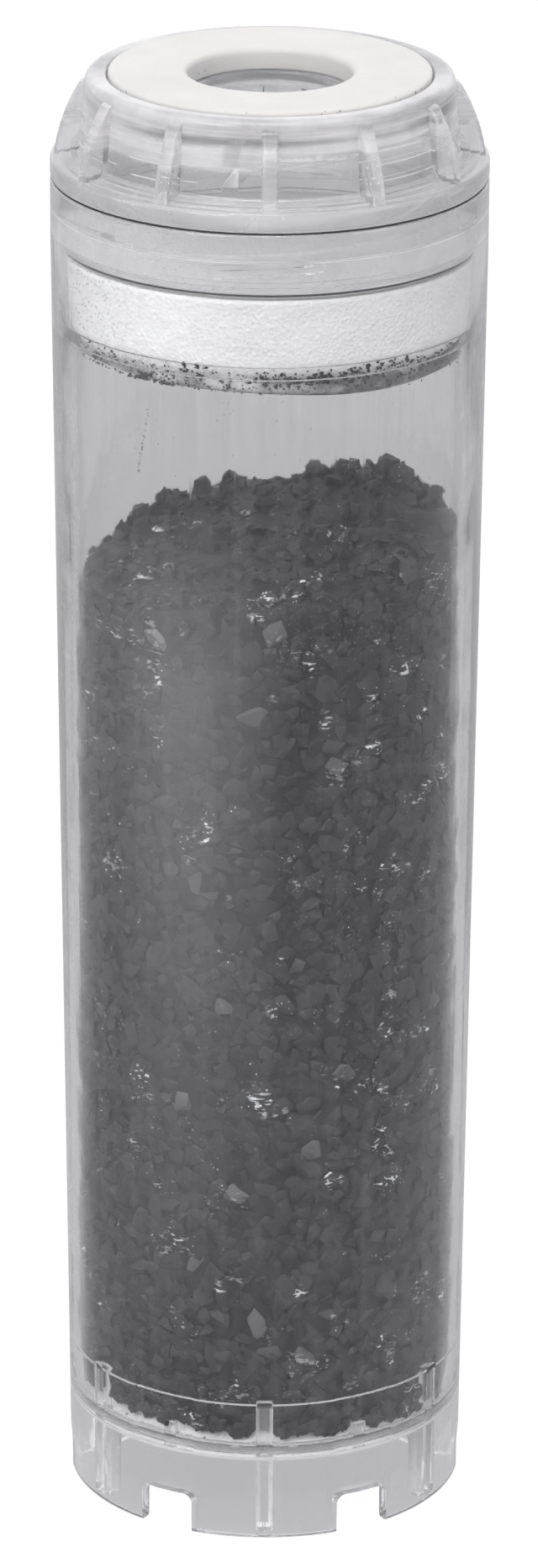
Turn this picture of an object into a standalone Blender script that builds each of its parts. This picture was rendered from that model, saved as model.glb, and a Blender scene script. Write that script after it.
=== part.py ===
"""Refillable carbon filter cartridge, ten inch size.

A clear tube holds a bed of granular carbon between a foam pad above and a
felt pad below. Its floor is slotted and its foot is castellated. A clear cap
screws into the collar with a coarse thread of three starts, seals with a ring
round its nose, and carries a thick white washer in its top.

Sizes are in metres. The origin is on the axis, in the plane of the foot.
Azimuths are in degrees from the front, which faces -Y, towards +X.
"""
import math
import random

import bmesh
import bpy
from mathutils import Matrix, Vector

MM = 0.001
SEGMENTS = 60
SOFT_SEGMENTS = 48
SMALL_ROUND = 0.6 * MM

# Gap between pieces that touch, and between the mating threads
FIT = 0.3 * MM
THREAD_GAP = 0.35 * MM

# Tube. Its collar sets every radius of the tube and of the cap's wall
BODY_HEIGHT = 231.1 * MM
COLLAR_RADIUS = 36.0 * MM
COLLAR_WALL = 1.4 * MM
BODY_TAPER = 2.5 * MM
EDGE_ROUND = 0.5 * MM
SKIRT_HEIGHT = 15.0 * MM
SKIRT_THICKNESS = 2.3 * MM
FLOOR_THICKNESS = 1.6 * MM
BASE_DEPTH = 7.6 * MM

# How far the bore steps in below the collar, at the pad's seat, down the bed and in the base
PAD_STEP = 1.0 * MM
BED_STEP = 0.8 * MM
BED_TAPER = 1.0 * MM
BASE_STEP = 0.5 * MM

# Depths from the collar's rim down
COLLAR_DEPTH = 9.0 * MM
PAD_SEAT_DEPTH = 22.6 * MM
PAD_SEAT_CONE = 2.3 * MM

# Notches in the foot, ribs and pips inside the base
RIB_COUNT = 6
RIB_THICKNESS = 2.8 * MM
RIB_REACH_LOW = 3.4 * MM
RIB_REACH_HIGH = 1.5 * MM
RIB_FOOT_GAP = 0.7 * MM
PIP_WIDTH = 2.2 * MM
PIP_REACH = 1.1 * MM
PIP_BELOW_FLOOR = 0.6 * MM
PIP_ABOVE_FLOOR = 2.7 * MM
NOTCH_WIDTH = 9.8 * MM
NOTCH_HEIGHT = 7.0 * MM
NOTCH_ROUND = 1.6 * MM

# Slots through the floor
OUTER_SLOTS = 18
OUTER_SLOT_START = 16.0 * MM
OUTER_SLOT_MARGIN = 5.2 * MM
INNER_SLOTS = 9
INNER_SLOT_START = 5.0 * MM
INNER_SLOT_END = 13.0 * MM
SLOT_WIDTH = 2.0 * MM

# Screw closure
THREAD_STARTS = 3
THREAD_LEAD = 12.0 * MM
THREAD_DEPTH = 0.7 * MM
THREAD_BASE = 1.6 * MM
THREAD_CREST = 0.9 * MM
THREAD_TURN = 170.0
LUG_COUNT = 6
LUG_ARC = 30.0

# Cap, measured from the collar's rim up
FLANGE_HEIGHT = 3.3 * MM
LEDGE_STEP = 0.35 * MM
CAP_HEIGHT = 17.2 * MM
LEDGE_WIDTH = 4.8 * MM
CAP_TAPER = 1.0 * MM
CAP_WALL = 2.4 * MM
PLATE_THICKNESS = 1.7 * MM
SHOULDER_ROUND = 1.4 * MM
SKIRT_WALL = 3.3 * MM
NOSE_LENGTH = 11.2 * MM
HUB_BORE = 13.4 * MM
HUB_WALL = 1.8 * MM
HUB_DROP = 6.5 * MM
HUB_SLOTS = 12
HUB_SLOT_WIDTH = 2.2 * MM
WEB_COUNT = 3
WEB_THICKNESS = 2.6 * MM
WEB_AZIMUTH = -12.5
GRIP_COUNT = 12
GRIP_THICKNESS = 2.6 * MM
GRIP_TOP_REACH = 0.7 * MM
GRIP_FOOT_INSET = 0.7 * MM
GRIP_BULGE = 0.75 * MM
GRIP_SINK = 1.0 * MM

# Washer, seal ring, pads and carbon
WASHER_CLEARANCE = 0.1 * MM
RIM_WIDTH = 3.7 * MM
WASHER_THICKNESS = 4.0 * MM
WASHER_PROUD = 0.7 * MM
WASHER_ROUND = 0.7 * MM
SEAL_HEIGHT = 0.5 * MM
SEAL_WIDTH = 1.2 * MM
FOAM_THICKNESS = 15.8 * MM
FOAM_ROUND = 0.9 * MM
FELT_THICKNESS = 2.2 * MM
FELT_ROUND = 1.2 * MM
HEADSPACE = 35.3 * MM
HEAP_TILT = 0.165
GRAIN_SIZE = 3.9 * MM
GRAIN_DEPTH = 1.7 * MM
GRAIN_ROWS = 36
GRAIN_RINGS = 7

# Heights that follow from the sizes above
FLOOR_TOP = SKIRT_HEIGHT + FLOOR_THICKNESS
BASE_TOP = FLOOR_TOP + BASE_DEPTH
SHOULDER_Z = BODY_HEIGHT - COLLAR_DEPTH
PAD_SEAT_TOP = BODY_HEIGHT - PAD_SEAT_DEPTH
PAD_SEAT_FOOT = PAD_SEAT_TOP - PAD_SEAT_CONE
NOSE_Z = BODY_HEIGHT - NOSE_LENGTH
FOAM_TOP = NOSE_Z - FIT
FOAM_FOOT = FOAM_TOP - FOAM_THICKNESS
FELT_FOOT = FLOOR_TOP + FIT
BED_FOOT = FELT_FOOT + FELT_THICKNESS + FIT
HEAP_HEIGHT = FOAM_FOOT - HEADSPACE

# Radii of the tube and of the cap's wall, from the collar inwards
FOOT_RADIUS = COLLAR_RADIUS - BODY_TAPER
SKIRT_BORE = FOOT_RADIUS - SKIRT_THICKNESS
COLLAR_BORE = COLLAR_RADIUS - COLLAR_WALL
PAD_BORE = COLLAR_BORE - PAD_STEP
BED_BORE_TOP = PAD_BORE - BED_STEP
BED_BORE_BOTTOM = BED_BORE_TOP - BED_TAPER
BASE_BORE = BED_BORE_BOTTOM - BASE_STEP
OUTER_SLOT_END = SKIRT_BORE - OUTER_SLOT_MARGIN
CAP_FOOT_RADIUS = COLLAR_RADIUS - LEDGE_WIDTH
CAP_TOP_RADIUS = CAP_FOOT_RADIUS - CAP_TAPER
GRIP_FOOT_RADIUS = COLLAR_RADIUS - GRIP_FOOT_INSET
GRIP_TOP_RADIUS = CAP_TOP_RADIUS + GRIP_TOP_REACH
WASHER_RADIUS = CAP_TOP_RADIUS - RIM_WIDTH
WASHER_BORE = HUB_BORE + WASHER_CLEARANCE

# Radii of the mating threads, from the collar's bore inwards
THREAD_TIP = COLLAR_BORE - THREAD_GAP
THREAD_ROOT = THREAD_TIP - THREAD_DEPTH
LUG_TIP = COLLAR_BORE - THREAD_DEPTH
NOSE_RADIUS = PAD_BORE - FIT
SEAL_BORE = NOSE_RADIUS - SEAL_WIDTH
SEAL_SEAT = SEAL_BORE - FIT
CAP_BORE = THREAD_ROOT - SKIRT_WALL
RECESS_DEPTH = WASHER_THICKNESS + FIT - WASHER_PROUD
PLATE_TOP = CAP_HEIGHT - RECESS_DEPTH
PLATE_FOOT = PLATE_TOP - PLATE_THICKNESS


def bed_bore(z):
    """The bore round the carbon, which is narrower in the base."""
    if z < BASE_TOP:
        return BASE_BORE
    share = (z - BASE_TOP) / (PAD_SEAT_FOOT - BASE_TOP)
    return BED_BORE_BOTTOM + (BED_BORE_TOP - BED_BORE_BOTTOM) * share


def clear_scene():
    for obj in list(bpy.data.objects):
        bpy.data.objects.remove(obj)


def material(name, color, roughness, metallic=0.0, transmission=0.0):
    mat = bpy.data.materials.new(name)
    mat.use_nodes = True
    shader = mat.node_tree.nodes["Principled BSDF"]
    shader.inputs["Base Color"].default_value = (*color, 1.0)
    shader.inputs["Roughness"].default_value = roughness
    shader.inputs["Metallic"].default_value = metallic
    shader.inputs["Transmission Weight"].default_value = transmission
    mat.diffuse_color = (*color, 1.0)
    return mat


def new_object(name, bm, mat=None):
    mesh = bpy.data.meshes.new(name)
    bmesh.ops.recalc_face_normals(bm, faces=bm.faces)
    bm.to_mesh(mesh)
    bm.free()
    obj = bpy.data.objects.new(name, mesh)
    bpy.context.collection.objects.link(obj)
    if mat:
        mesh.materials.append(mat)
    return obj


def rounded(corners):
    """Turn corners (x, z) or (x, z, radius) of a closed outline into points."""
    points = []
    count = len(corners)
    for index, corner in enumerate(corners):
        here = Vector(corner[:2])
        if len(corner) < 3:
            points.append(here)
            continue
        back = Vector(corners[index - 1][:2]) - here
        ahead = Vector(corners[(index + 1) % count][:2]) - here
        half = back.angle(ahead) / 2
        reach = min(corner[2] / math.tan(half), 0.49 * back.length, 0.49 * ahead.length)
        radius = reach * math.tan(half)
        steps = 1 if radius < SMALL_ROUND else 3
        middle = here + (back.normalized() + ahead.normalized()).normalized() * radius / math.sin(half)
        start = (here + back.normalized() * reach - middle).normalized()
        end = (here + ahead.normalized() * reach - middle).normalized()
        for step in range(steps + 1):
            points.append(middle + start.slerp(end, step / steps) * radius)
    return points


def lathe(name, corners, mat, segments=SEGMENTS):
    """Spin an outline (radius, height) about Z. It may start and end on the axis."""
    bm = bmesh.new()
    points = rounded(corners)
    verts = [bm.verts.new((x, 0, z)) for x, z in points]
    edges = [bm.edges.new(pair) for pair in zip(verts, verts[1:])]
    if points[0].x > 0:
        edges.append(bm.edges.new((verts[-1], verts[0])))
    bmesh.ops.spin(bm, geom=verts + edges, cent=(0, 0, 0), axis=(0, 0, 1),
                   angle=math.tau, steps=segments, use_merge=True)
    bmesh.ops.remove_doubles(bm, verts=bm.verts, dist=0.001 * MM)
    return new_object(name, bm, mat)


def facing(azimuth):
    """Turn a form built along +X to an azimuth counted from the front."""
    return Matrix.Rotation(math.radians(azimuth - 90), 4, "Z")


def azimuths(count, first=0.0):
    return [first + 360 * index / count for index in range(count)]


def add_prism(bm, points, low, high, place, bevel=0.0):
    """Add an outline (x, z), thickened along Y from low to high, then placed."""
    verts = [bm.verts.new((x, low, z)) for x, z in points]
    face = bm.faces.new(verts)
    result = bmesh.ops.extrude_face_region(bm, geom=[face])
    moved = [item for item in result["geom"] if isinstance(item, bmesh.types.BMVert)]
    bmesh.ops.translate(bm, verts=moved, vec=(0, high - low, 0))
    verts += moved
    if bevel:
        edges = {edge for vert in verts for edge in vert.link_edges}
        made = bmesh.ops.bevel(bm, geom=list(edges), offset=bevel, segments=1,
                               profile=0.5, affect="EDGES", clamp_overlap=True)
        verts = made["verts"]
    bmesh.ops.transform(bm, matrix=place, verts=verts)


def plates(name, points, thickness, places, bevel=0.0):
    """The same upright radial plate at each azimuth."""
    bm = bmesh.new()
    for azimuth in places:
        add_prism(bm, points, -thickness / 2, thickness / 2, facing(azimuth), bevel)
    return new_object(name, bm)


def combine(obj, tool, operation):
    """Apply a Boolean of the tool to the object, and drop the tool."""
    modifier = obj.modifiers.new(tool.name, "BOOLEAN")
    modifier.operation = operation
    modifier.solver = "EXACT"
    modifier.object = tool
    graph = bpy.context.evaluated_depsgraph_get()
    result = bpy.data.meshes.new_from_object(obj.evaluated_get(graph))
    obj.modifiers.clear()
    obj.data = result
    bpy.data.objects.remove(tool)


def shade(obj, degrees=32):
    obj.data.shade_smooth()
    obj.data.set_sharp_from_angle(angle=math.radians(degrees))


def helix_ridges(name, starts, root, tip, inward):
    """Thread ridges, each given as (azimuth, height of its middle, arc in degrees)."""
    bm = bmesh.new()
    sink = -THREAD_DEPTH if not inward else THREAD_DEPTH
    for azimuth, height, arc in starts:
        steps = max(4, round(arc / 9))
        rings = []
        for step in range(steps + 1):
            share = step / steps
            turn = azimuth + arc * (share - 0.5)
            rise = height + THREAD_LEAD * arc * (share - 0.5) / 360
            swell = 0.25 if step in (0, steps) else 1.0
            reach = root + (tip - root) * swell
            section = [(root + sink, -THREAD_BASE / 2), (root, -THREAD_BASE / 2),
                       (reach, -THREAD_CREST / 2), (reach, THREAD_CREST / 2),
                       (root, THREAD_BASE / 2), (root + sink, THREAD_BASE / 2)]
            place = facing(turn)
            rings.append([bm.verts.new(place @ Vector((x, 0, rise + z))) for x, z in section])
        bm.faces.new(rings[0])
        bm.faces.new(rings[-1])
        for lower, upper in zip(rings, rings[1:]):
            for index in range(len(lower)):
                follow = (index + 1) % len(lower)
                bm.faces.new((lower[index], lower[follow], upper[follow], upper[index]))
    return new_object(name, bm)


def base_ribs(name, grow=0.0):
    """The long ribs of the base, or the room that they need in what lies between them."""
    low = BASE_BORE - RIB_REACH_LOW
    high = BASE_BORE - RIB_REACH_HIGH - grow
    back = BASE_BORE + 0.8 * MM
    outline = [(back, RIB_FOOT_GAP), (low + 1.2 * MM, RIB_FOOT_GAP), (low, RIB_FOOT_GAP + 1.2 * MM),
               (low, SKIRT_HEIGHT - 0.6 * MM), (high, SKIRT_HEIGHT + 0.5 * MM),
               (high, BASE_TOP + 0.2 * MM + grow), (high + 0.6 * MM, BASE_TOP + 0.8 * MM + grow),
               (back + grow, BASE_TOP + 0.8 * MM + grow)]
    return plates(name, outline, RIB_THICKNESS + 2 * grow, azimuths(RIB_COUNT))


def floor_pips(name, grow=0.0):
    """Short pips on the wall at the floor, half way between the ribs."""
    inner = BASE_BORE - PIP_REACH - grow
    low = SKIRT_HEIGHT - PIP_BELOW_FLOOR
    high = FLOOR_TOP + PIP_ABOVE_FLOOR + grow
    outline = [(BASE_BORE + 0.8 * MM + grow, low), (inner + 0.3 * MM, low), (inner, low + 0.3 * MM),
               (inner, high - 0.5 * MM), (inner + 0.6 * MM, high), (BASE_BORE + 0.8 * MM + grow, high)]
    return plates(name, outline, PIP_WIDTH + 2 * grow, azimuths(RIB_COUNT, 180 / RIB_COUNT))


def foot_notches():
    """Cutters for the notches, which have round upper corners."""
    half = NOTCH_WIDTH / 2
    outline = rounded([(-half, -MM), (-half, NOTCH_HEIGHT, NOTCH_ROUND),
                       (half, NOTCH_HEIGHT, NOTCH_ROUND), (half, -MM)])
    bm = bmesh.new()
    for azimuth in azimuths(RIB_COUNT, 180 / RIB_COUNT):
        place = facing(azimuth) @ Matrix.Rotation(math.radians(-90), 4, "Z")
        add_prism(bm, outline, SKIRT_BORE - 4 * MM, FOOT_RADIUS + 2 * MM, place)
    return new_object("foot_notches", bm)


def floor_slots(name, count, start, end):
    """Cutters for a ring of radial slots with round ends."""
    half = SLOT_WIDTH / 2
    outline = [(start, -0.5 * half), (start + 0.5 * half, -half), (end - 0.5 * half, -half),
               (end, -0.5 * half), (end, 0.5 * half), (end - 0.5 * half, half),
               (start + 0.5 * half, half), (start, 0.5 * half)]
    bm = bmesh.new()
    upright = Matrix.Rotation(math.radians(90), 4, "X")
    for azimuth in azimuths(count, 180 / count):
        add_prism(bm, outline, SKIRT_HEIGHT - MM, FLOOR_TOP + MM, facing(azimuth) @ upright)
    return new_object(name, bm)


def make_body(mat):
    """The tube: one moulding with its collar, floor, ribs and castellated foot."""
    rim = BODY_HEIGHT
    shell = [(FOOT_RADIUS, 0, EDGE_ROUND), (COLLAR_RADIUS, SHOULDER_Z),
             (COLLAR_RADIUS, rim, EDGE_ROUND), (COLLAR_BORE, rim, EDGE_ROUND),
             (COLLAR_BORE, SHOULDER_Z), (PAD_BORE, SHOULDER_Z - 0.3 * MM),
             (PAD_BORE, PAD_SEAT_TOP), (BED_BORE_TOP, PAD_SEAT_FOOT),
             (BED_BORE_BOTTOM, BASE_TOP + 0.4 * MM), (BASE_BORE, BASE_TOP),
             (BASE_BORE, FLOOR_TOP, EDGE_ROUND), (0, FLOOR_TOP), (0, SKIRT_HEIGHT),
             (SKIRT_BORE, SKIRT_HEIGHT, EDGE_ROUND), (SKIRT_BORE, 0, EDGE_ROUND)]
    first = shell.index((0, SKIRT_HEIGHT))
    outline = shell[first:] + shell[:first]
    body = lathe("body", outline, mat)
    combine(body, base_ribs("ribs"), "UNION")
    combine(body, floor_pips("pips"), "UNION")
    lugs = [(azimuth, lug_height(azimuth), LUG_ARC) for azimuth in azimuths(LUG_COUNT)]
    combine(body, helix_ridges("lugs", lugs, COLLAR_BORE, LUG_TIP, True), "UNION")
    combine(body, foot_notches(), "DIFFERENCE")
    combine(body, floor_slots("outer_slots", OUTER_SLOTS, OUTER_SLOT_START, OUTER_SLOT_END), "DIFFERENCE")
    combine(body, floor_slots("inner_slots", INNER_SLOTS, INNER_SLOT_START, INNER_SLOT_END), "DIFFERENCE")
    shade(body)
    return body


def thread_pitch():
    return THREAD_LEAD / THREAD_STARTS


def thread_middle():
    """Height of the middle of the engaged thread."""
    return (SHOULDER_Z + BODY_HEIGHT) / 2


def lug_height(azimuth):
    """A lug sits on the nearest groove between the cap's ridges."""
    turned = THREAD_LEAD * azimuth / 360 + thread_pitch() / 2
    offset = (turned + thread_pitch() / 2) % thread_pitch() - thread_pitch() / 2
    return thread_middle() + offset


def make_cap(mat):
    """The screw cap, built from the collar's rim plane up, on its own axis."""
    top = CAP_HEIGHT
    inside = CAP_FOOT_RADIUS - CAP_WALL
    ledge = FLANGE_HEIGHT + FIT
    step = LEDGE_STEP
    tread = (COLLAR_RADIUS - CAP_FOOT_RADIUS) / 3
    nose = -NOSE_LENGTH
    waist = SHOULDER_Z + FIT + 0.3 * MM - BODY_HEIGHT
    outline = [(WASHER_RADIUS + FIT, PLATE_TOP), (WASHER_RADIUS + FIT, top, 0.4 * MM),
               (CAP_TOP_RADIUS, top, SHOULDER_ROUND), (CAP_FOOT_RADIUS, ledge + 2 * step),
               (CAP_FOOT_RADIUS + tread, ledge + 2 * step), (CAP_FOOT_RADIUS + tread, ledge + step),
               (CAP_FOOT_RADIUS + 2 * tread, ledge + step), (CAP_FOOT_RADIUS + 2 * tread, ledge),
               (COLLAR_RADIUS, ledge, EDGE_ROUND), (COLLAR_RADIUS, FIT, EDGE_ROUND),
               (THREAD_ROOT, FIT), (THREAD_ROOT, waist), (NOSE_RADIUS, waist - 0.2 * MM),
               (NOSE_RADIUS, nose + SEAL_HEIGHT + FIT), (SEAL_SEAT, nose + SEAL_HEIGHT + FIT),
               (SEAL_SEAT, nose), (CAP_BORE, nose), (CAP_BORE, FIT + 0.5 * FLANGE_HEIGHT),
               (inside, ledge + step), (CAP_TOP_RADIUS - CAP_WALL, PLATE_FOOT),
               (HUB_BORE + HUB_WALL, PLATE_FOOT), (HUB_BORE + HUB_WALL, PLATE_FOOT - HUB_DROP),
               (HUB_BORE, PLATE_FOOT - HUB_DROP), (HUB_BORE, PLATE_TOP, 0.3 * MM)]
    cap = lathe("screw_cap", outline, mat)
    combine(cap, grip_ribs(), "UNION")
    combine(cap, inner_webs(), "UNION")
    combine(cap, cap_thread(), "UNION")
    combine(cap, hub_slots(), "DIFFERENCE")
    shade(cap)
    return cap


def grip_ribs():
    """Grip ribs from the flange to the rim. Their outer edge bulges a little."""
    low = FIT + 0.5 * FLANGE_HEIGHT
    foot = FIT + FLANGE_HEIGHT
    high = CAP_HEIGHT - SHOULDER_ROUND
    steps = 4
    edge = []
    for step in range(steps + 1):
        share = step / steps
        radius = GRIP_FOOT_RADIUS + (GRIP_TOP_RADIUS - GRIP_FOOT_RADIUS) * share
        edge.append((radius + 4 * GRIP_BULGE * share * (1 - share), foot + (high - foot) * share))
    outline = [(CAP_FOOT_RADIUS - GRIP_SINK, low), (GRIP_FOOT_RADIUS, low), *edge,
               (CAP_TOP_RADIUS - GRIP_SINK, high + 0.5 * MM)]
    return plates("grip_ribs", outline, GRIP_THICKNESS, azimuths(GRIP_COUNT), 0.45 * MM)


def inner_webs():
    """Stiffening webs under the plate, from the hub to the wall."""
    low = PLATE_FOOT - HUB_DROP + 0.4 * MM
    high = PLATE_FOOT + 0.5 * PLATE_THICKNESS
    inner = HUB_BORE + 0.6 * HUB_WALL
    outer = CAP_FOOT_RADIUS - 0.6 * CAP_WALL
    outline = [(inner, low), (outer, low), (outer - 0.4 * MM, high), (inner, high)]
    return plates("inner_webs", outline, WEB_THICKNESS, azimuths(WEB_COUNT, WEB_AZIMUTH))


def cap_thread():
    middle = thread_middle() - BODY_HEIGHT
    ridges = [(azimuth, middle, THREAD_TURN) for azimuth in azimuths(THREAD_STARTS)]
    return helix_ridges("cap_thread", ridges, THREAD_ROOT, THREAD_TIP, False)


def hub_slots():
    """Cutters for the strainer slots in the hub."""
    low = PLATE_FOOT - HUB_DROP + 1.2 * MM
    high = PLATE_FOOT - 0.9 * MM
    half = HUB_SLOT_WIDTH / 2
    outline = [(-half, low), (half, low), (half, high), (-half, high)]
    bm = bmesh.new()
    for azimuth in azimuths(HUB_SLOTS, WEB_AZIMUTH + 180 / HUB_SLOTS):
        place = facing(azimuth) @ Matrix.Rotation(math.radians(-90), 4, "Z")
        add_prism(bm, outline, HUB_BORE - MM, HUB_BORE + HUB_WALL + MM, place)
    return new_object("hub_slots", bm)


def make_washer(mat):
    low = PLATE_TOP + FIT
    high = low + WASHER_THICKNESS
    washer = lathe("top_washer", [(WASHER_BORE, low, 0.4 * MM), (WASHER_RADIUS, low, 0.4 * MM),
                                  (WASHER_RADIUS, high, WASHER_ROUND),
                                  (WASHER_BORE, high, 1.6 * WASHER_ROUND)],
                   mat, SOFT_SEGMENTS)
    shade(washer)
    return washer


def make_seal(mat):
    low = -NOSE_LENGTH
    high = low + SEAL_HEIGHT
    edge = 0.3 * MM
    seal = lathe("seal_ring", [(SEAL_BORE, low), (NOSE_RADIUS, low, edge),
                               (NOSE_RADIUS, high, edge), (SEAL_BORE, high)],
                 mat, SOFT_SEGMENTS)
    shade(seal)
    return seal


def make_foam(mat):
    """The foam pad, squeezed into the seat and bulging a little through it."""
    wide = PAD_BORE - FIT
    narrow = BED_BORE_TOP - FIT
    foam = lathe("foam_pad", [(0, FOAM_FOOT), (narrow, FOAM_FOOT, FOAM_ROUND),
                              (narrow, PAD_SEAT_FOOT), (wide, PAD_SEAT_TOP + FIT),
                              (wide, FOAM_TOP, FOAM_ROUND / 2), (0, FOAM_TOP)],
                 mat, SOFT_SEGMENTS)
    shade(foam, 50)
    return foam


def make_felt(mat):
    """The felt pad on the floor, cut out round the ribs and pips."""
    radius = BASE_BORE - FIT
    top = FELT_FOOT + FELT_THICKNESS
    felt = lathe("felt_pad", [(0, FELT_FOOT), (radius - 0.2 * MM, FELT_FOOT, 0.3 * MM),
                              (radius - 0.2 * MM, top, FELT_ROUND), (0, top)],
                 mat, SOFT_SEGMENTS)
    combine(felt, base_ribs("rib_room", FIT), "DIFFERENCE")
    combine(felt, floor_pips("pip_room", FIT), "DIFFERENCE")
    shade(felt)
    return felt


def heap(x, y):
    """Height of the settled carbon, which leans up towards +X."""
    ripple = math.sin(260 * x + 1.0) * math.cos(310 * y) + math.sin(540 * y + 300 * x)
    return HEAP_HEIGHT + HEAP_TILT * x + 0.45 * MM * ripple


def make_carbon(mat):
    """The bed of granular carbon, one lumpy solid whose facets stand proud or lie back like grains."""
    rng = random.Random(11)
    depths = [share * GRAIN_DEPTH for share in (0, 0.05, 0.15, 0.6, 0.8, 1)]
    columns = round(math.tau * BED_BORE_BOTTOM / GRAIN_SIZE)
    bm = bmesh.new()

    def ring(shift, place):
        row = []
        for index in range(columns):
            turn = math.tau * (index + shift + rng.uniform(-0.25, 0.25)) / columns
            row.append(bm.verts.new(place(math.cos(turn), math.sin(turn))))
        return row

    def side(share):
        def place(cos, sin):
            rim = heap(BED_BORE_TOP * cos, BED_BORE_TOP * sin)
            z = BED_FOOT + (rim - BED_FOOT) * share
            if 0 < share < 1:
                z += rng.uniform(-0.3, 0.3) * GRAIN_SIZE
            radius = bed_bore(z) - FIT - rng.choice(depths)
            radius = min(radius, BASE_BORE - FIT) if z < BASE_TOP + MM else radius
            return radius * cos, radius * sin, z
        return place

    def crown(share):
        def place(cos, sin):
            radius = (BED_BORE_TOP - GRAIN_SIZE / 2) * share
            x, y = radius * cos, radius * sin
            return x, y, heap(x, y) + 0.6 * GRAIN_DEPTH - rng.choice(depths)
        return place

    rows = []
    for level in range(GRAIN_ROWS + 1):
        rows.append(ring(0.5 * (level % 2), side(level / GRAIN_ROWS)))
    for level in range(GRAIN_RINGS):
        share = 1 - (level + 0.6) / (GRAIN_RINGS + 0.6)
        rows.append(ring(0.5 * (len(rows) % 2), crown(share)))
    for level, (lower, upper) in enumerate(zip(rows, rows[1:])):
        for index in range(columns):
            follow = (index + 1) % columns
            if level % 2 == 0:
                bm.faces.new((lower[index], lower[follow], upper[index]))
                bm.faces.new((lower[follow], upper[follow], upper[index]))
            else:
                bm.faces.new((lower[index], upper[follow], upper[index]))
                bm.faces.new((lower[index], lower[follow], upper[follow]))
    foot = bm.verts.new((0, 0, BED_FOOT))
    peak = bm.verts.new((0, 0, heap(0, 0) + GRAIN_DEPTH / 2))
    for index in range(columns):
        follow = (index + 1) % columns
        bm.faces.new((rows[0][follow], rows[0][index], foot))
        bm.faces.new((rows[-1][index], rows[-1][follow], peak))
    carbon = new_object("carbon_bed", bm, mat)
    combine(carbon, base_ribs("rib_room", FIT), "DIFFERENCE")
    combine(carbon, floor_pips("pip_room", FIT), "DIFFERENCE")
    return carbon


def main():
    clear_scene()
    clear_plastic = material("clear_plastic", (0.80, 0.82, 0.84), 0.06, transmission=1.0)
    cap_plastic = material("cap_plastic", (0.78, 0.80, 0.83), 0.06, transmission=1.0)
    white_rubber = material("white_rubber", (0.82, 0.80, 0.77), 0.55)
    black_rubber = material("black_rubber", (0.02, 0.02, 0.02), 0.5)
    white_foam = material("white_foam", (0.86, 0.86, 0.85), 0.9)
    white_felt = material("white_felt", (0.80, 0.80, 0.79), 0.95)
    carbon = material("carbon", (0.05, 0.05, 0.055), 0.45)
    make_body(clear_plastic)
    make_foam(white_foam)
    make_felt(white_felt)
    make_carbon(carbon)
    axis = bpy.data.objects.new("cap_axis", None)
    axis.location = (0, 0, BODY_HEIGHT)
    bpy.context.collection.objects.link(axis)
    for piece in (make_seal(black_rubber), make_cap(cap_plastic), make_washer(white_rubber)):
        piece.parent = axis


main()
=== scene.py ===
"""Looks of the clear carbon filter cartridge, in metres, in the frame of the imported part.

Azimuths are in degrees from the front, which faces -Y, towards +X. Sizes repeat those of the solids.
"""
import math
import random

import bmesh
import bpy
import numpy as np
from mathutils import Matrix, Vector, noise


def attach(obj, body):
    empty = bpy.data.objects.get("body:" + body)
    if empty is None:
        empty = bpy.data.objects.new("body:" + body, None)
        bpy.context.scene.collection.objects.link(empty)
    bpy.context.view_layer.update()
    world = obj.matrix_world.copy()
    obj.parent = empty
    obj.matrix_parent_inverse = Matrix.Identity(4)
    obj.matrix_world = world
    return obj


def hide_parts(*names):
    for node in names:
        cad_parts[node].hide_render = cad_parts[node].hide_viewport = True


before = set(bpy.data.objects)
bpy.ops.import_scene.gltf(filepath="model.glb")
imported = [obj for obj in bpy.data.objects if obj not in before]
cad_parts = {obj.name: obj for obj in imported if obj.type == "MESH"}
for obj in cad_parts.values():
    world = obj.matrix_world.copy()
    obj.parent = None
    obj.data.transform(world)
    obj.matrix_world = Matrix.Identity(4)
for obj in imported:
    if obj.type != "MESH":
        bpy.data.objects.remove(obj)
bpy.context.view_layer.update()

MM = 0.001
SEGMENTS = 216
FIT = 0.3 * MM  # clearance between pieces

# Tube
RIM = 231.1 * MM
FOOT_RADIUS = 33.5 * MM
COLLAR_RADIUS = 36.0 * MM
COLLAR_BORE = 34.6 * MM
SHOULDER = 222.1 * MM
PAD_BORE = 33.6 * MM
SEAT_TOP = 208.5 * MM
SEAT_TOP_RADIUS = 33.3 * MM
SEAT_FOOT = 206.2 * MM
SEAT_FOOT_RADIUS = 33.2 * MM
BED_BORE_TOP = 32.8 * MM
BED_BORE_BOTTOM = 31.8 * MM
BASE_TOP = 24.2 * MM
BASE_BORE = 31.3 * MM
SKIRT = 15.0 * MM
SKIRT_BORE = 31.2 * MM
FLOOR = 16.6 * MM
NOTCH_WIDTH = 9.8 * MM
NOTCH_HEIGHT = 7.0 * MM
RIB_WIDTH = 2.8 * MM
PIP_WIDTH = 2.2 * MM
THREAD_DEPTH = 0.7 * MM
THREAD_LEAD = 12.0 * MM
THREAD_PITCH = THREAD_LEAD / 3
THREAD_MIDDLE = (SHOULDER + RIM) / 2
THREAD_ARC = 170
LUG_ARC = 30

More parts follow.
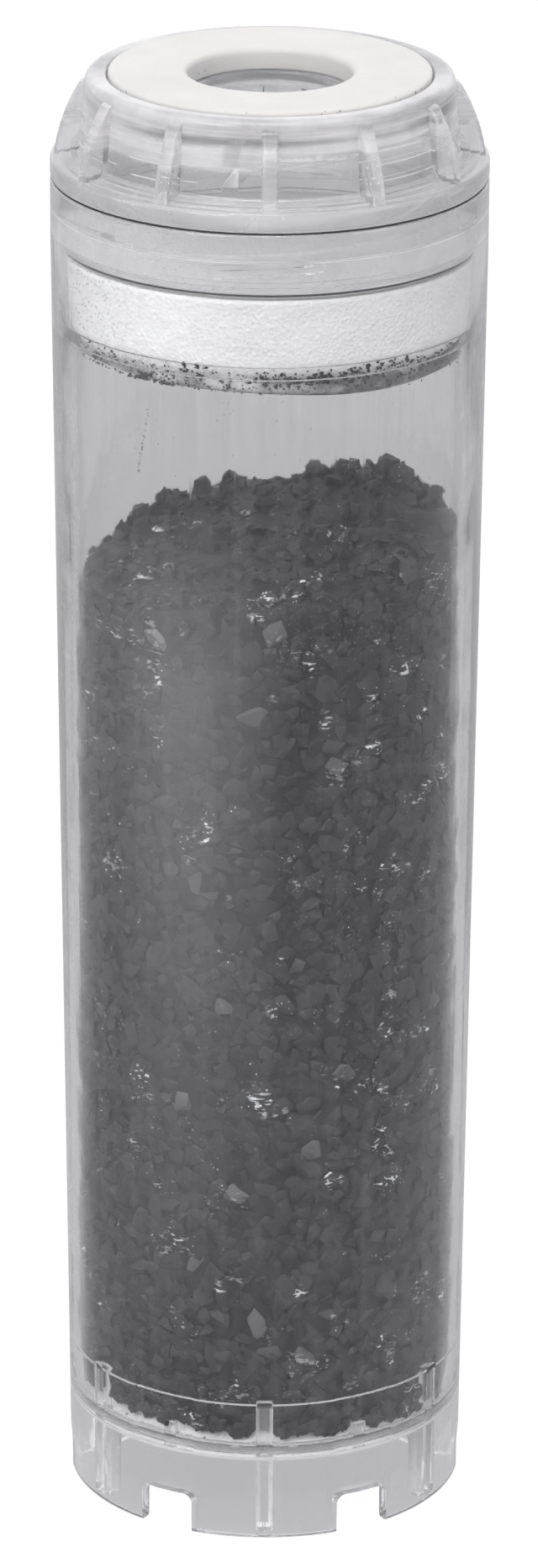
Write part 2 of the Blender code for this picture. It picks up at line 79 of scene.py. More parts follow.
# Cap
CAP_TOP = 248.3 * MM
CAP_FOOT_RADIUS = 31.2 * MM
CAP_TOP_RADIUS = 30.2 * MM
CAP_WALL = 2.4 * MM
FLANGE = 3.3 * MM
LEDGE = RIM + FIT + FLANGE
LEDGE_STEP = 0.35 * MM
GRIP_WIDTH = 2.6 * MM
GRIP_FOOT_RADIUS = 35.3 * MM
GRIP_TOP_RADIUS = 30.9 * MM
NOSE = 219.9 * MM
NOSE_RADIUS = 33.3 * MM
THREAD_ROOT = 33.55 * MM
THREAD_TIP = 34.25 * MM
CAP_BORE = 30.25 * MM
PLATE_TOP = 244.7 * MM
PLATE_FOOT = 243.0 * MM
HUB_BORE = 13.4 * MM
HUB_WALL = 1.8 * MM
HUB_FOOT = 236.5 * MM
WEB_AZIMUTH = -12.5
WEB_WIDTH = 2.6 * MM
WINDOW_WIDTH = 2.2 * MM
WASHER_TOP = 249.0 * MM
WASHER_BORE = 13.5 * MM
WASHER_RADIUS = 26.5 * MM
SEAL_BORE = 32.1 * MM
SEAL_SEAT = 31.8 * MM
SEAL_HEIGHT = 0.5 * MM
# A thin dark ring in the gap under the flange, painted shade
SHADE_RING_BORE = 34.9 * MM
SHADE_RING_RADIUS = 35.85 * MM

# Filling
FELT_FOOT = 16.9 * MM
FELT_TOP = 19.1 * MM
BED_FOOT = 19.4 * MM
BED_LENGTH = 150.0 * MM
HEAP_HEIGHT = 168.5 * MM
HEAP_TILT = 0.165
FOAM_FOOT = 203.8 * MM
FOAM_TOP = 219.6 * MM

# Grains and dust. Those at the wall are placed at the leaning radius, then pushed out to touch it
LEANING_RADIUS = 30.2 * MM
WALL_ROWS, WALL_COLUMNS = 60, 74
TOP_GRAINS = 900
FRINGE_GRAINS = 300
SEAT_DUST, STREAK_DUST, WALL_DUST = 2000, 70, 420

# The few pale grains at the wall, as azimuth, height and size in millimetres, and tone
PALE_GRAINS = (
    (-33.7, 158.9, 7.0, 2.0), (2.5, 162.5, 6.5, 1.4), (-5.0, 148.5, 6.5, 1.4), (20.0, 139.0, 5.5, 1.3),
    (-20.0, 118.5, 5.5, 1.4), (-13.0, 96.5, 5.5, 1.4), (8.0, 104.0, 5.0, 1.3), (-26.0, 78.5, 5.0, 1.5),
    (14.0, 70.5, 5.5, 1.4), (-9.0, 62.5, 5.5, 1.5), (24.0, 84.0, 5.0, 1.3), (-22.0, 50.0, 6.0, 1.4),
    (-2.0, 39.5, 6.5, 1.5), (12.0, 33.0, 6.0, 1.4), (60.0, 92.0, 5.0, 1.5), (-118.0, 120.0, 6.0, 1.4),
    (150.0, 88.0, 6.0, 1.5), (95.0, 60.0, 6.0, 1.4), (-160.0, 50.0, 6.0, 1.5))

# Large grains that stand out of the heap, as azimuth, height and size in millimetres
PROUD_GRAINS = (
    (163, 169.4, 5.6), (147, 170.4, 4.6), (131, 172.4, 6.6), (123, 172.0, 6.6), (114, 171.4, 5.6),
    (-126, 165.0, 5.2), (-139, 165.4, 6.0), (-154, 166.8, 5.6), (-105, 162.0, 4.6), (-112, 163.2, 4.8))

# Clumps of crumbs under the pad, as azimuth, height in millimetres, spread in degrees, and count
DUST_CLUMPS = (
    (-57, 205.2, 1.5, 9), (-38, 204.6, 1.8, 22), (-30, 204.2, 2.0, 16), (6, 206.0, 6.0, 40),
    (14.5, 206.4, 5.0, 34), (27, 207.4, 4.0, 20), (38, 207.3, 4.0, 18), (62, 206.0, 7.0, 40),
    (-19, 207.8, 3.0, 10))

# The camera, from a fit to the photo's ring lines and outline
CAMERA_PLACE = (0.0003, -1.2586, 0.5930)
CAMERA_TARGET = (0.0003, 0, 0.1244)
CAMERA_ROLL = 0.244
CAMERA_LENS = 182.97


# Shapes

def bed_bore(z):
    """The bore round the carbon, which is narrower in the base."""
    if z < BASE_TOP:
        return BASE_BORE
    share = min((z - BASE_TOP) / (SEAT_FOOT - BASE_TOP), 1)
    return BED_BORE_BOTTOM + (BED_BORE_TOP - BED_BORE_BOTTOM) * share


def heap(x, y):
    """Height of the settled carbon, which leans up towards +X."""
    ripple = math.sin(260 * x + 1.0) * math.cos(310 * y) + math.sin(540 * y + 300 * x)
    return HEAP_HEIGHT + HEAP_TILT * x + 0.45 * MM * ripple


def around(azimuth, radius, z=0.0):
    """A point at an azimuth counted from the front."""
    turn = math.radians(azimuth - 90)
    return Vector((radius * math.cos(turn), radius * math.sin(turn), z))


def facing(azimuth):
    """Turn a form built along +X to an azimuth counted from the front."""
    return Matrix.Rotation(math.radians(azimuth - 90), 4, "Z")


def azimuths(count, first=0.0):
    return [first + 360 * index / count for index in range(count)]


def new_object(name, bm):
    mesh = bpy.data.meshes.new(name)
    bmesh.ops.recalc_face_normals(bm, faces=bm.faces)
    bm.to_mesh(mesh)
    bm.free()
    obj = bpy.data.objects.new(name, mesh)
    bpy.context.scene.collection.objects.link(obj)
    return obj


def rounded(corners, fine=6):
    """Turn corners (x, z) or (x, z, radius) of a closed outline into points."""
    points = []
    for index, corner in enumerate(corners):
        here = Vector(corner[:2])
        if len(corner) < 3:
            points.append(here)
            continue
        back = Vector(corners[index - 1][:2]) - here
        ahead = Vector(corners[(index + 1) % len(corners)][:2]) - here
        half = back.angle(ahead) / 2
        reach = min(corner[2] / math.tan(half), 0.49 * back.length, 0.49 * ahead.length)
        radius = reach * math.tan(half)
        steps = 3 if radius < 0.6 * MM else fine
        middle = here + (back.normalized() + ahead.normalized()).normalized() * radius / math.sin(half)
        start = (here + back.normalized() * reach - middle).normalized()
        end = (here + ahead.normalized() * reach - middle).normalized()
        for step in range(steps + 1):
            points.append(middle + start.slerp(end, step / steps) * radius)
    return points


def bridge(bm, rings):
    """Join neighbouring closed rings of vertices by quads."""
    for lower, upper in zip(rings, rings[1:]):
        for index in range(len(lower)):
            follow = (index + 1) % len(lower)
            bm.faces.new((lower[index], lower[follow], upper[follow], upper[index]))


def lathe(name, corners, segments=SEGMENTS):
    """Spin a closed outline (radius, height) about Z. It may start and end on the axis."""
    bm = bmesh.new()
    points = rounded(corners)
    verts = [bm.verts.new((x, 0, z)) for x, z in points]
    edges = [bm.edges.new(pair) for pair in zip(verts, verts[1:])]
    if points[0].x > 0:
        edges.append(bm.edges.new((verts[-1], verts[0])))
    bmesh.ops.spin(bm, geom=verts + edges, cent=(0, 0, 0), axis=(0, 0, 1),
                   angle=math.tau, steps=segments, use_merge=True)
    bmesh.ops.remove_doubles(bm, verts=bm.verts, dist=0.001 * MM)
    return new_object(name, bm)


def add_prism(bm, points, low, high, place, bevel=0.0):
    """Add an outline (x, z), thickened along Y from low to high, then placed."""
    verts = [bm.verts.new((x, low, z)) for x, z in points]
    face = bm.faces.new(verts)
    result = bmesh.ops.extrude_face_region(bm, geom=[face])
    moved = [item for item in result["geom"] if isinstance(item, bmesh.types.BMVert)]
    bmesh.ops.translate(bm, verts=moved, vec=(0, high - low, 0))
    verts += moved
    if bevel:
        edges = {edge for vert in verts for edge in vert.link_edges}
        made = bmesh.ops.bevel(bm, geom=list(edges), offset=bevel, segments=3,
                               profile=0.5, affect="EDGES", clamp_overlap=True)
        verts = made["verts"]
    bmesh.ops.transform(bm, matrix=place, verts=verts)


def plates(name, points, thickness, places, bevel=0.0):
    """The same upright radial plate at each azimuth."""
    bm = bmesh.new()
    for azimuth in places:
        add_prism(bm, points, -thickness / 2, thickness / 2, facing(azimuth), bevel)
    bmesh.ops.remove_doubles(bm, verts=bm.verts, dist=0.002 * MM)
    return new_object(name, bm)


def openings(name, points, start, end, places):
    """The same opening at each azimuth, cutting outwards from one radius to another."""
    bm = bmesh.new()
    outward = Matrix.Rotation(math.radians(-90), 4, "Z")
    for azimuth in places:
        add_prism(bm, points, start, end, facing(azimuth) @ outward)
    return new_object(name, bm)


def combine(obj, tool, operation):
    """Apply a Boolean of the tool to the object, and drop the tool."""
    modifier = obj.modifiers.new(tool.name, "BOOLEAN")
    modifier.operation = operation
    modifier.solver = "EXACT"
    modifier.object = tool
    graph = bpy.context.evaluated_depsgraph_get()
    result = bpy.data.meshes.new_from_object(obj.evaluated_get(graph))
    obj.modifiers.clear()
    obj.data = result
    bpy.data.objects.remove(tool)
    bm = bmesh.new()
    bm.from_mesh(result)
    bmesh.ops.remove_doubles(bm, verts=bm.verts, dist=0.0002 * MM)
    bmesh.ops.dissolve_degenerate(bm, edges=bm.edges, dist=0.0002 * MM)
    bm.to_mesh(result)
    bm.free()


def shade(obj, degrees=32):
    obj.data.shade_smooth()
    obj.data.set_sharp_from_angle(angle=math.radians(degrees))


def helix_ridges(name, starts, root, tip, sink):
    """Thread ridges, each given as (azimuth, height of its middle, arc in degrees)."""
    bm = bmesh.new()
    for azimuth, height, arc in starts:
        steps = max(6, round(arc / 3))
        rings = []
        for step in range(steps + 1):
            share = step / steps
            rise = height + THREAD_LEAD * arc * (share - 0.5) / 360
            swell = min(0.05 + 0.4 * min(step, steps - step), 1.0)
            reach = root + (tip - root) * swell
            buried = root + 0.07 * sink
            section = [(root + sink, -0.8), (buried, -0.8), (reach, -0.45),
                       (reach, 0.45), (buried, 0.8), (root + sink, 0.8)]
            place = facing(azimuth + arc * (share - 0.5))
            rings.append([bm.verts.new(place @ Vector((x, 0, rise + z * MM))) for x, z in section])
        bm.faces.new(rings[0])
        bm.faces.new(rings[-1])
        bridge(bm, rings)
    return new_object(name, bm)


def make_tube():
    """The tube with its collar, floor, ribs, pips, lugs and castellated foot."""
    edge = 0.5 * MM
    outline = [(0, SKIRT), (SKIRT_BORE, SKIRT, 0.8 * MM), (SKIRT_BORE, 0, edge),
               (FOOT_RADIUS, 0, edge), (COLLAR_RADIUS, SHOULDER), (COLLAR_RADIUS, RIM, edge),
               (COLLAR_BORE, RIM, edge), (COLLAR_BORE, SHOULDER), (PAD_BORE, SHOULDER - 0.3 * MM),
               (PAD_BORE, SEAT_TOP + 0.1 * MM, 0.1 * MM),
               (SEAT_TOP_RADIUS, SEAT_TOP - 0.2 * MM, 0.1 * MM),
               (SEAT_FOOT_RADIUS, SEAT_FOOT + 0.2 * MM, 0.1 * MM),
               (BED_BORE_TOP, SEAT_FOOT - 0.1 * MM, 0.1 * MM),
               (BED_BORE_BOTTOM, BASE_TOP + 0.45 * MM, 0.3 * MM), (BASE_BORE, BASE_TOP, 0.3 * MM),
               (BASE_BORE, FLOOR, edge), (0, FLOOR)]
    tube = lathe("tube", outline)
    half = NOTCH_WIDTH / 2
    notch = rounded([(-half, -MM), (-half, NOTCH_HEIGHT, 1.6 * MM),
                     (half, NOTCH_HEIGHT, 1.6 * MM), (half, -MM)])
    notches = openings("notches", notch, SKIRT_BORE - 4 * MM, FOOT_RADIUS + 2 * MM, azimuths(6, 30))
    combine(tube, notches, "DIFFERENCE")
    bm = bmesh.new()
    upright = Matrix.Rotation(math.radians(90), 4, "X")
    for count, start, end in ((18, 16 * MM, 26 * MM), (9, 5 * MM, 13 * MM)):
        slot = rounded([(start, -MM, MM), (end, -MM, MM), (end, MM, MM), (start, MM, MM)])
        for azimuth in azimuths(count, 180 / count):
            add_prism(bm, slot, SKIRT - MM, FLOOR + MM, facing(azimuth) @ upright)
    combine(tube, new_object("slots", bm), "DIFFERENCE")
    low, high, back = BASE_BORE - 3.4 * MM, BASE_BORE - 1.5 * MM, BASE_BORE + 0.8 * MM
    rib = [(back, 0.7 * MM), (low + 1.2 * MM, 0.7 * MM), (low, 1.9 * MM), (low, SKIRT - 0.6 * MM),
           (high, SKIRT + 0.5 * MM), (high, BASE_TOP + 0.2 * MM), (high + 0.6 * MM, BASE_TOP + 0.8 * MM),
           (back, BASE_TOP + 0.8 * MM)]
    combine(tube, plates("ribs", rib, RIB_WIDTH, azimuths(6), 0.85 * MM), "UNION")
    inner, low, high = BASE_BORE - 1.1 * MM, SKIRT - 0.6 * MM, FLOOR + 2.7 * MM
    pip = [(back, low), (inner + 0.3 * MM, low), (inner, low + 0.3 * MM),
           (inner, high - 0.5 * MM), (inner + 0.6 * MM, high), (back, high)]
    combine(tube, plates("pips", pip, PIP_WIDTH, azimuths(6, 30), 0.2 * MM), "UNION")
    starts = []
    for azimuth in azimuths(6):
        rise = THREAD_LEAD * azimuth / 360 + THREAD_PITCH / 2
        offset = (rise + THREAD_PITCH / 2) % THREAD_PITCH - THREAD_PITCH / 2
        starts.append((azimuth, THREAD_MIDDLE + offset, LUG_ARC))
    lugs = helix_ridges("lugs", starts, COLLAR_BORE, COLLAR_BORE - THREAD_DEPTH, THREAD_DEPTH)
    combine(tube, lugs, "UNION")
    shade(tube)
    return tube


def make_cap():
    """The screw cap with its grips, webs, thread, nose and slotted hub."""
    base = RIM + FIT
    ledge, step = LEDGE, LEDGE_STEP
    tread = (COLLAR_RADIUS - CAP_FOOT_RADIUS) / 3
    waist = SHOULDER + 0.6 * MM
    foot, top = CAP_FOOT_RADIUS, CAP_TOP_RADIUS
    edge = 0.15 * MM
    outline = [(WASHER_RADIUS + FIT, PLATE_TOP), (WASHER_RADIUS + FIT, CAP_TOP, 0.4 * MM),
               (top, CAP_TOP, 1.4 * MM), (foot, ledge + 2 * step, 0.6 * MM),
               (foot + tread, ledge + 2 * step, edge), (foot + tread, ledge + step, edge),
               (foot + 2 * tread, ledge + step, edge), (foot + 2 * tread, ledge, edge),
               (COLLAR_RADIUS, ledge, 0.8 * MM), (COLLAR_RADIUS, base, 0.4 * MM),
               (THREAD_ROOT, base), (THREAD_ROOT, waist), (NOSE_RADIUS, waist - 0.2 * MM),
               (NOSE_RADIUS, NOSE + SEAL_HEIGHT + FIT), (SEAL_SEAT, NOSE + SEAL_HEIGHT + FIT),
               (SEAL_SEAT, NOSE), (CAP_BORE, NOSE, 0.3 * MM), (CAP_BORE, base + 0.5 * FLANGE, 0.6 * MM),
               (foot - CAP_WALL, ledge + step, 0.6 * MM), (top - CAP_WALL, PLATE_FOOT, 2.6 * MM),
               (HUB_BORE + HUB_WALL, PLATE_FOOT, 0.4 * MM), (HUB_BORE + HUB_WALL, HUB_FOOT, 0.3 * MM),
               (HUB_BORE, HUB_FOOT, 0.3 * MM), (HUB_BORE, PLATE_TOP, 0.3 * MM)]
    cap = lathe("cap", outline)
    low, high = ledge, CAP_TOP - 1.4 * MM
    bulge = []
    for index in range(9):
        share = index / 8
        radius = GRIP_FOOT_RADIUS + (GRIP_TOP_RADIUS - GRIP_FOOT_RADIUS) * share
        bulge.append((radius + 3 * MM * share * (1 - share), low + (high - low) * share))
    grip = [(foot - MM, base + 0.5 * FLANGE), (GRIP_FOOT_RADIUS, base + 0.5 * FLANGE),
            *bulge, (top - MM, high + 0.5 * MM)]
    combine(cap, plates("grips", grip, GRIP_WIDTH, azimuths(12), 0.5 * MM), "UNION")
    low, high = HUB_FOOT + 0.4 * MM, PLATE_FOOT + 0.85 * MM
    inner, outer = HUB_BORE + 0.6 * HUB_WALL, foot - 0.6 * CAP_WALL
    web = [(inner, low), (outer, low), (outer - 0.4 * MM, high), (inner, high)]
    combine(cap, plates("webs", web, WEB_WIDTH, azimuths(3, WEB_AZIMUTH), 0.2 * MM), "UNION")
    ridges = [(azimuth, THREAD_MIDDLE, THREAD_ARC) for azimuth in azimuths(3)]
    combine(cap, helix_ridges("thread", ridges, THREAD_ROOT, THREAD_TIP, -THREAD_DEPTH), "UNION")
    half = WINDOW_WIDTH / 2
    low, high = HUB_FOOT + 1.2 * MM, PLATE_FOOT - 0.9 * MM
    window = [(-half, low), (half, low), (half, high), (-half, high)]
    windows = openings("windows", window, HUB_BORE - MM, HUB_BORE + HUB_WALL + MM,
                       azimuths(12, WEB_AZIMUTH + 15))
    combine(cap, windows, "DIFFERENCE")
    shade(cap)
    return cap


def make_washer():
    """The thick soft washer, with worn round lips and a surface that is not quite flat."""
    low, high = PLATE_TOP + FIT, WASHER_TOP
    washer = lathe("washer", [(WASHER_BORE, low, 0.4 * MM), (WASHER_RADIUS, low, 0.4 * MM),
                              (WASHER_RADIUS, high, 0.75 * MM), (WASHER_BORE, high, 1.3 * MM)], 144)
    for vert in washer.data.vertices:
        if vert.co.z > high - 0.3 * MM:
            vert.co.z -= 0.12 * MM * (0.5 + 0.5 * noise.noise(vert.co * 120))
    washer.data.shade_smooth()
    return washer


def make_seal():
    low, high = NOSE + 0.4 * MM, NOSE + 0.66 * MM
    seal = lathe("seal", [(SEAL_BORE, low, 0.1 * MM), (NOSE_RADIUS, low, 0.12 * MM),
                          (NOSE_RADIUS, high, 0.12 * MM), (SEAL_BORE, high, 0.1 * MM)], 180)
    seal.data.shade_smooth()
    return seal


def make_shade_ring():
    """A thin dark ring in the gap between the collar's rim and the flange: painted shade, where the gap is
    in shadow.
    """
    low, high = RIM + 0.04 * MM, RIM + 0.25 * MM
    shade_ring = lathe("rim_shade_ring", [(SHADE_RING_BORE, low), (SHADE_RING_RADIUS, low, 0.06 * MM),
                                  (SHADE_RING_RADIUS, high, 0.06 * MM), (SHADE_RING_BORE, high)], 180)
    shade_ring.data.shade_smooth()
    return shade_ring


def foam_foot(azimuth):
    """Height of the pad's lower edge, which sags unevenly."""
    turn = math.radians(azimuth)
    return FOAM_FOOT + (-0.35 - 0.75 * math.sin(turn) - 0.3 * math.sin(3 * turn + 0.6)
                        + 0.2 * math.cos(5 * turn)) * MM


def make_foam():
    """The foam pad, squeezed into its seat, bulging and uneven below it."""
    segments, rings = 180, 22
    bm = bmesh.new()
    levels = []
    for level in range(rings + 1):
        share = level / rings
        row = []
        for index in range(segments):
            azimuth = 360 * index / segments
            foot = foam_foot(azimuth)
            z = foot + (FOAM_TOP - foot) * share
            radius = PAD_BORE if z > SEAT_TOP else BED_BORE_TOP
            if SEAT_FOOT < z < SEAT_TOP:
                radius = BED_BORE_TOP + (PAD_BORE - BED_BORE_TOP) * (z - SEAT_FOOT) / (SEAT_TOP - SEAT_FOOT)
            edge = min(z - foot, 1.3 * MM) / (1.3 * MM)
            radius -= FIT + 1.1 * MM * (1 - math.sqrt(1 - (1 - edge) ** 2))
            point = around(azimuth, radius, z)
            dents = 0.22 * max(0, noise.noise(point * 260)) + 0.1 * max(0, noise.noise(point * 900))
            radius -= dents * MM
            row.append(bm.verts.new(around(azimuth, radius, z)))
        levels.append(row)
    for shares, end in (((0.93, 0.8, 0.6, 0.4, 0.2), 0), ((0.97, 0.8, 0.5, 0.2), -1)):
        inward = []
        for share in shares:
            row = []
            for index in range(segments):
                rim = levels[end][index].co
                sag = -0.5 * MM * (1 - share) if end == 0 else 0
                spot = Vector((rim.x * share, rim.y * share, rim.z + sag))
                spot.z += 0.15 * MM * noise.noise(spot * 200) if end == 0 else 0
                row.append(bm.verts.new(spot))
            inward.append(row)
        levels = inward[::-1] + levels if end == 0 else levels + inward
    bridge(bm, levels)
    bm.faces.new(levels[0])
    bm.faces.new(levels[-1])
    foam = new_object("foam", bm)
    foam.data.shade_smooth()
    return foam


def make_felt():
    """The felt disc, a little smaller than its seat, with a soft fibrous edge."""
    segments = 240
    bm = bmesh.new()
    rows = []
    for share, rise in ((0.0, 0.0), (0.5, 0.0), (0.99, 0.0), (1.0, 0.05), (0.995, 0.15), (0.972, 0.3),
                        (0.957, 0.6), (0.945, 0.85), (0.93, 1.0), (0.5, 1.0), (0.0, 1.0)):
        row = []
        for index in range(segments):
            azimuth = 360 * index / segments
            radius = (30.6 * MM + 0.3 * MM * noise.noise(around(azimuth, 0.3))) * share
            rib = min(max(abs((azimuth + 30) % 60 - 30) - 2.6, 0), 1.5) / 1.5
            pip = min(max(abs(azimuth % 60 - 30) - 2.2, 0), 1.5) / 1.5
            radius = min(radius, 29.4 * MM + 1.8 * MM * rib, 29.8 * MM + 1.4 * MM * pip)
            z = FELT_FOOT + (FELT_TOP - FELT_FOOT) * rise
            spot = around(azimuth, radius, z)
            spot.z += 0.1 * MM * noise.noise(spot * 400) * (1 if rise > 0.5 else 0)
            row.append(bm.verts.new(spot))
        rows.append(row)
    bridge(bm, rows)
    bmesh.ops.remove_doubles(bm, verts=bm.verts, dist=0.001 * MM)
    felt = new_object("felt", bm)
    felt.data.shade_smooth()
    return felt


def make_core():
    """The dark bed behind the grains that touch the wall."""
    segments, levels = 96, 60
    bm = bmesh.new()
    rows = []
    for level in range(levels + 1):
        row = []
        for index in range(segments):
            azimuth = 360 * index / segments
            rim = around(azimuth, 30 * MM)
            z = BED_FOOT + (heap(rim.x, rim.y) - 1.6 * MM - BED_FOOT) * level / levels
            point = around(azimuth, 29.3 * MM, z)
            radius = bed_bore(z) - 1.0 * MM + 0.5 * MM * noise.noise(point * 260)
            if z < BASE_TOP + 2.5 * MM and off_rib(point.x, point.y) < 6:
                radius = min(radius, BASE_BORE - 1.8 * MM)
            row.append(bm.verts.new(around(azimuth, radius, z)))
        rows.append(row)
    for share in (0.8, 0.6, 0.4, 0.2):
        row = []
        for index in range(segments):
            spot = rows[levels][index].co * share
            row.append(bm.verts.new((spot.x, spot.y, heap(spot.x, spot.y) - 1.2 * MM)))
        rows.append(row)
    bridge(bm, rows)
    bm.faces.new(rows[0])
    bm.faces.new(rows[-1])
    core = new_object("carbon_core", bm)
    core.data.shade_smooth()
    return core


# Grains

def chunk(rng, count):
    """A broken lump: the hull of random points on a ball, as arrays of points and triangles."""
    bm = bmesh.new()
    for _ in range(count):
        way = Vector((rng.gauss(0, 1), rng.gauss(0, 1), rng.gauss(0, 1))).normalized()
        bm.verts.new(way * rng.uniform(0.82, 1.0) * 0.5)
    hull = bmesh.ops.convex_hull(bm, input=bm.verts)
    inside = [item for item in hull["geom_interior"] if isinstance(item, bmesh.types.BMVert)]
    bmesh.ops.delete(bm, geom=inside, context="VERTS")
    bmesh.ops.recalc_face_normals(bm, faces=bm.faces)
    bm.verts.index_update()
    points = np.array([vert.co for vert in bm.verts])
    faces = np.array([[vert.index for vert in face.verts] for face in bm.faces])
    bm.free()
    return points, faces


def turned(rng, normal, tilt):
    """A frame whose third axis is near a normal, with a random spin about it."""
    third = Vector(normal) + Vector((rng.gauss(0, tilt), rng.gauss(0, tilt), rng.gauss(0, tilt)))
    third.normalize()
    first = third.orthogonal().normalized()
    first = Matrix.Rotation(rng.uniform(0, math.tau), 3, third) @ first
    return np.array([first, third.cross(first), third])


def make_grains(name, spots, seed, limit=None):
    """One mesh of many grains. A spot is (place, normal, size, thickness, tone, shine, tilt).

    The limit gives the radius that a grain may reach at a height, and then it is pushed out to touch it.
    """
    rng = random.Random(seed)
    moulds = [chunk(rng, rng.choice((11, 12, 13, 14))) for _ in range(40)]
    points, faces, tones, glint_paints = [], [], [], []
    total = 0
    for place, normal, size, thickness, tone, glint_paint, tilt in spots:
        shape, triangles = rng.choice(moulds)
        scale = np.array([size, size * rng.uniform(0.6, 0.95), size * thickness])
        shape = (shape * scale) @ turned(rng, normal, tilt)
        place = np.array(place)
        if limit:
            out = place[:2] / np.hypot(*place[:2])
            reach = np.hypot(shape[:, 0] + place[0], shape[:, 1] + place[1])
            room = np.array([limit(*point) for point in shape + place])
            place[:2] += out * (room - reach).min()
        points.append(shape + place)
        faces.append(triangles + total)
        total += len(shape)
        tones.append(np.full(len(shape), tone))
        glint_paints.append(np.full(len(shape), glint_paint))
    mesh = bpy.data.meshes.new(name)
    mesh.from_pydata(np.concatenate(points), [], np.concatenate(faces).tolist())
    # glint_paint is how strongly the carbon's painted glints show on each grain.
    for label, values in (("tone", tones), ("glint_paint", glint_paints)):
        mesh.attributes.new(label, "FLOAT", "POINT").data.foreach_set("value", np.concatenate(values))
    obj = bpy.data.objects.new(name, mesh)
    bpy.context.scene.collection.objects.link(obj)
    shade(obj, 38)
    return obj


def wall_spots(rng, low, high):
    """Grains that lean on the wall between two heights, as a share of the bed."""
    spots = []
    for row in range(WALL_ROWS + 1):
        for column in range(WALL_COLUMNS):
            azimuth = 360 * (column + 0.5 * (row % 2) + rng.uniform(-0.4, 0.4)) / WALL_COLUMNS
            rim = around(azimuth, 31 * MM)
            top = heap(rim.x, rim.y) - 3.6 * MM
            z = BED_FOOT + 0.8 * MM + (top - BED_FOOT) * (row + rng.uniform(-0.4, 0.4)) / WALL_ROWS
            if not low <= row / WALL_ROWS < high:
                continue
            if any((around(azimuth, 30, z / MM) - around(turn, 30, level)).length < 0.5 * width
                   for turn, level, width, _ in PALE_GRAINS):
                continue
            size = rng.choice((3.0, 3.6, 4.2, 4.8, 5.4, 6.2, 7.0)) * MM
            spots.append((around(azimuth, LEANING_RADIUS, z), around(azimuth, 1), size,
                          rng.uniform(0.24, 0.42), rng.random(), rng.random() ** 3, 0.15))
    for azimuth, z, size, tone in PALE_GRAINS:
        if low <= (z * MM - BED_FOOT) / BED_LENGTH < high:
            spots.append((around(azimuth, LEANING_RADIUS, z * MM), around(azimuth, 1), size * MM,
                          0.4, tone, 0.1, 0.02))
    return spots


def top_spots(rng):
    """Grains on the heap, and the large ones that stand out against the light."""
    spots = []
    for _ in range(TOP_GRAINS):
        radius = 31 * MM * math.sqrt(rng.random())
        spot = around(rng.uniform(0, 360), radius)
        size = rng.uniform(2.4, 5.2) * MM
        spot.z = heap(spot.x, spot.y) + rng.uniform(-2.6, -1.0) * MM
        spots.append((spot, (0, 0, 1), size, rng.uniform(0.4, 0.8), rng.random(),
                      rng.random() ** 3, 0.5))
    for azimuth, z, size in PROUD_GRAINS:
        spots.append((around(azimuth, 28.2 * MM, z * MM), (0, 0, 1), size * MM, 0.8, rng.random(),
                      0.2, 0.2))
    return spots


def fringe_spots(rng):
    """Grains that have slid down between the felt and the wall, to uneven depths."""
    spots = []
    for index in range(FRINGE_GRAINS):
        azimuth = 360 * (index + rng.uniform(-0.4, 0.4)) / FRINGE_GRAINS
        if min(abs((azimuth + 30) % 60 - 30), abs(azimuth % 60 - 30)) < 2.6:
            continue
        depth = 0.5 + 1.0 * noise.noise(around(azimuth, 0.4)) + rng.uniform(-0.3, 0.3)
        size = rng.uniform(2.0, 4.2) * MM
        z = max(FELT_FOOT + 0.42 * size, 20.4 * MM - 3.2 * MM * min(max(depth, 0), 1))
        spots.append((around(azimuth, LEANING_RADIUS, z), around(azimuth, 1), size, 0.42, rng.random(),
                      rng.random() ** 3, 0.3))
    return spots


def dust_spots(rng):
    """Carbon dust and crumbs caught where the pad leaves its seat."""
    spots = []

    def add(azimuth, z, size):
        spots.append((around(azimuth, 32.4 * MM, z), around(azimuth, 1), size, 0.4,
                      rng.random() * 0.5, 0, 0.3))

    for _ in range(SEAT_DUST):
        azimuth = rng.uniform(-180, 180)
        heavy = 1 if azimuth > -5 else 0.8
        if rng.random() > heavy:
            continue
        z = max(SEAT_FOOT + rng.gauss(-0.5, 1.1) * MM, foam_foot(azimuth) + 0.4 * MM)
        add(azimuth, z, rng.choice((0.2, 0.25, 0.3, 0.4, 0.5, 0.65)) * MM)
    for azimuth, z, spread, count in DUST_CLUMPS:
        for _ in range(count):
            height = max(z * MM + rng.gauss(0, 0.45) * MM, foam_foot(azimuth) + 0.4 * MM)
            add(azimuth + rng.gauss(0, spread), height, rng.uniform(0.35, 1.2) * MM)
    for _ in range(STREAK_DUST):
        along = rng.random()
        add(-35 - 4 * along + rng.gauss(0, 0.35), (200 - 12 * along) * MM, rng.uniform(0.14, 0.3) * MM)
    for _ in range(WALL_DUST):
        add(rng.uniform(-180, 180), rng.uniform(174, 203) * MM, rng.uniform(0.12, 0.24) * MM)
    return spots


def pad_limit(_x, _y, z):
    """The radius that dust on the pad may reach."""
    if z > SEAT_TOP:
        return PAD_BORE - 0.05 * MM
    if z < SEAT_FOOT:
        return bed_bore(z) - 0.05 * MM
    share = (z - SEAT_FOOT) / (SEAT_TOP - SEAT_FOOT)
    return BED_BORE_TOP + (PAD_BORE - BED_BORE_TOP) * share - 0.05 * MM


def off_rib(x, y):
    """Degrees from the nearest rib."""
    return abs((math.degrees(math.atan2(x, -y)) + 30) % 60 - 30)


def wall_limit(x, y, z):
    """The radius that a grain at the wall may reach, which is less before a rib."""
    if z < BASE_TOP + 0.9 * MM and off_rib(x, y) < 2.9:
        return BASE_BORE - 1.65 * MM
    return bed_bore(z) - 0.12 * MM


# Materials

